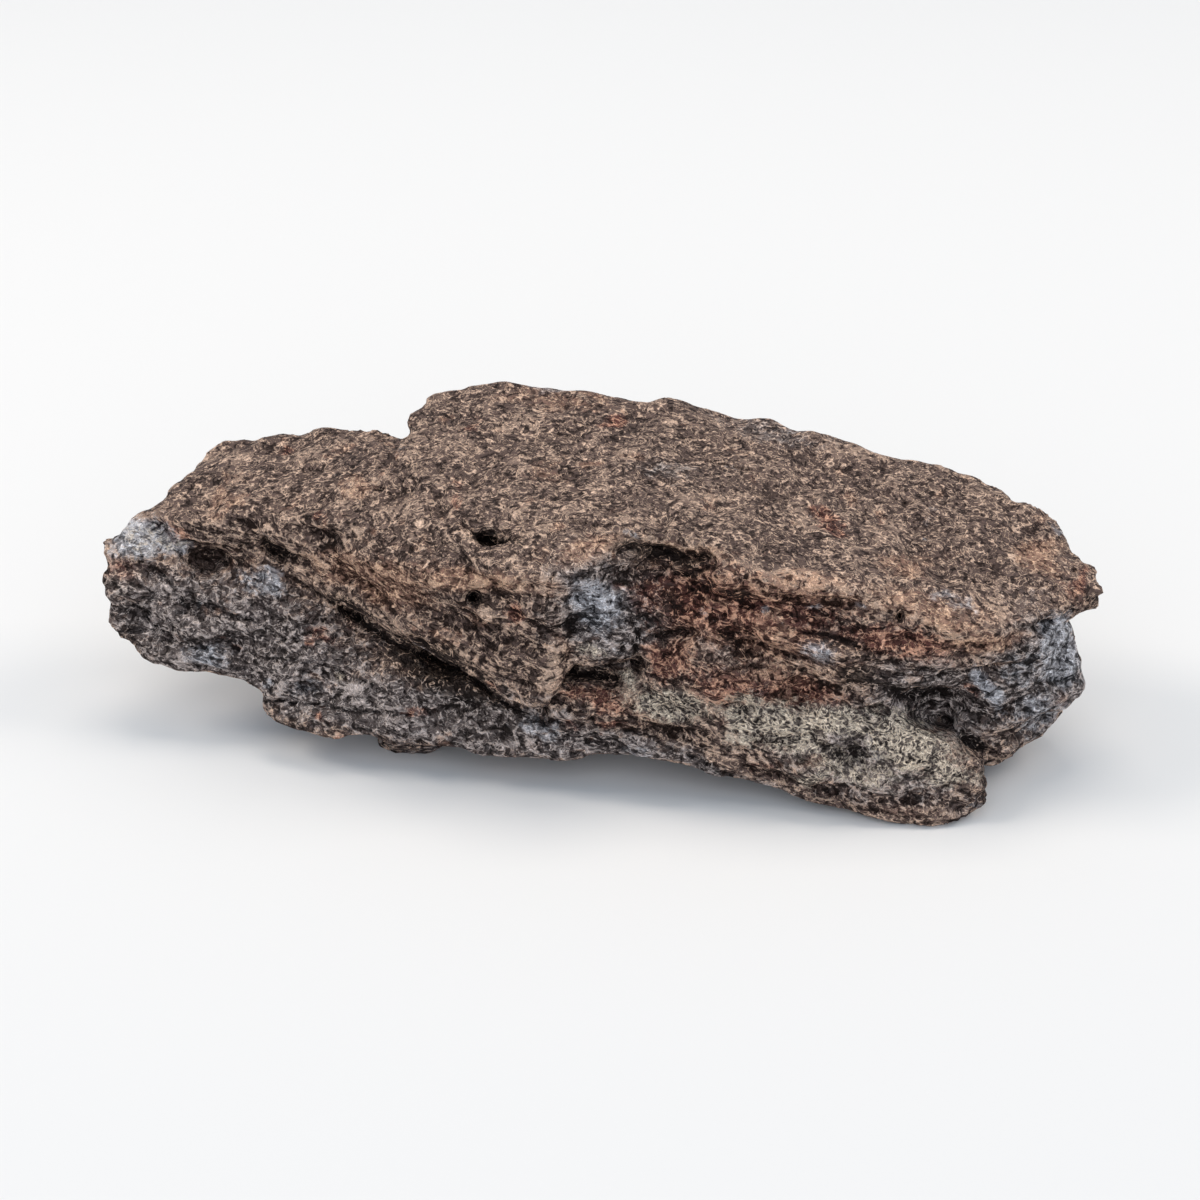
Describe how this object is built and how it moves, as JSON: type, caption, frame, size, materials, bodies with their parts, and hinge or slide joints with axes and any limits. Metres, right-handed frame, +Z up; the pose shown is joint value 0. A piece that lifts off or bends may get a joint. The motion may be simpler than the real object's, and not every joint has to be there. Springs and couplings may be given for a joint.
{
  "type": "chondrite meteorite",
  "caption": "Flat, layered stone meteorite fragment with a stepped top, an overhanging tongue and tip, a broken front with hollows, and a dark weathered surface.",
  "frame": {"origin": "the bottom centre of the bounding box, on the surface that the stone lies on", "axes": "+X along the stone, towards the end with the overhanging tip; -Y towards the broken front; +Z up"},
  "size_m": [0.0496, 0.0214, 0.014],
  "materials": {
    "stone": "dark brown, weathered and mat, with tan, rust and blue-grey patches"
  },
  "bodies": {
    "root": {"stone": "stone"}
  },
  "joints": []
}
